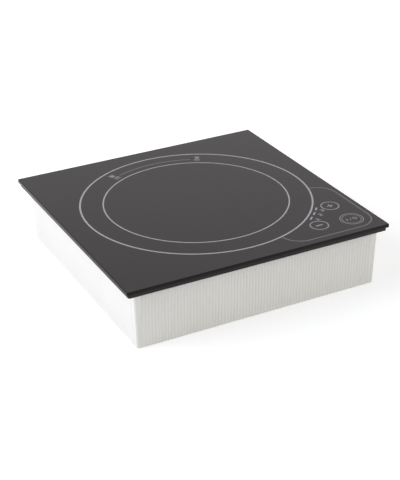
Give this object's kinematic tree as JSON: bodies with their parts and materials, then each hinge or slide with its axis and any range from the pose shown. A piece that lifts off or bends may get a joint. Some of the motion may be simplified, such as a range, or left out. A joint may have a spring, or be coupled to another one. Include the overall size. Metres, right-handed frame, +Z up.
{
  "type": "induction cooktop",
  "caption": "Drop-in induction cooktop: square black glass plate with a printed cooking zone and touch keys on a ribbed off-white housing.",
  "frame": {"origin": "on the plane the housing stands on, under the centre of the glass plate", "axes": "+Z up out of the cooking surface, -Y towards the cook, +X to the cook's right, where the touch keys are"},
  "size_m": [0.3, 0.3, 0.07],
  "materials": {
    "black_glass": "polished black glass-ceramic",
    "silicone_bond": "cured silicone",
    "frame_plastic": "moulded, fine grain",
    "gasket_foam": "closed-cell foam",
    "housing_plastic": "moulded, vertical ribs",
    "screw_steel": "zinc plated",
    "insert_brass": "turned",
    "litz_copper": "enamelled copper litz",
    "carrier_plastic": "glass-filled",
    "ferrite": "sintered",
    "shield_aluminium": "sheet",
    "mica": "mica paper",
    "sensor_silicone": "white silicone",
    "sensor_cap": "red silicone",
    "lead_white": "silicone insulated",
    "lead_red": "insulated wire",
    "circuit_board": "solder mask",
    "sink_aluminium": "extruded",
    "device_epoxy": "moulded epoxy",
    "capacitor_blue": "potted box",
    "capacitor_red": "dipped",
    "choke_ferrite": "coated core",
    "capacitor_yellow": "potted box",
    "fuse_ceramic": "ceramic tube with caps",
    "transformer_tape": "tape and ferrite",
    "terminal_plastic": "moulded",
    "fan_plastic": "moulded",
    "stator_metal": "windings on laminations",
    "magnet": "bonded ferrite",
    "shaft_steel": "ground",
    "hood_plastic": "moulded",
    "touch_foam": "conductive foam",
    "lamp_plastic": "light guide",
    "buzzer_plastic": "moulded",
    "ribbon_plastic": "flat cable",
    "gland_nylon": "nylon"
  },
  "bodies": {
    "cooktop": {"glass_top": "black_glass", "glass_adhesive": "silicone_bond", "glass_frame": "frame_plastic", "rim_gasket": "gasket_foam", "housing_tub": "housing_plastic", "housing_screws": "screw_steel", "bracket_inserts": "insert_brass", "coil_winding": "litz_copper", "coil_carrier": "carrier_plastic", "ferrite_bars": "ferrite", "coil_shield": "shield_aluminium", "coil_screws": "screw_steel", "mica_sheet": "mica", "sensor_holder": "sensor_silicone", "temperature_sensor": "sensor_cap", "coil_leads": "litz_copper", "sensor_lead": "lead_white", "power_board": "circuit_board", "board_screws": "screw_steel", "heat_sink": "sink_aluminium", "power_transistor": "device_epoxy", "bridge_rectifier": "device_epoxy", "resonant_capacitors": "capacitor_blue", "smoothing_capacitor": "capacitor_red", "choke_core": "choke_ferrite", "choke_winding": "litz_copper", "mains_capacitor": "capacitor_yellow", "mains_fuse": "fuse_ceramic", "standby_transformer": "transformer_tape", "terminal_block": "terminal_plastic", "fan_frame": "fan_plastic", "fan_stator": "stator_metal", "fan_screws": "screw_steel", "fan_lead": "lead_red", "air_hood": "hood_plastic", "control_board": "circuit_board", "control_carrier": "carrier_plastic", "control_screws": "screw_steel", "touch_pads": "touch_foam", "level_lamps": "lamp_plastic", "buzzer": "buzzer_plastic", "ribbon_cable": "ribbon_plastic", "gland_body": "gland_nylon", "gland_nut": "gland_nylon", "gland_cap": "gland_nylon"},
    "fan_rotor": {"fan_impeller": "fan_plastic", "fan_magnet": "magnet", "fan_shaft": "shaft_steel"}
  },
  "joints": [
    {"name": "fan_spin", "type": "hinge", "parent": "cooktop", "child": "fan_rotor", "pos_m": [-0.08, 0.076, 0.0145], "axis": [0, 0, 1], "continuous": true}
  ]
}
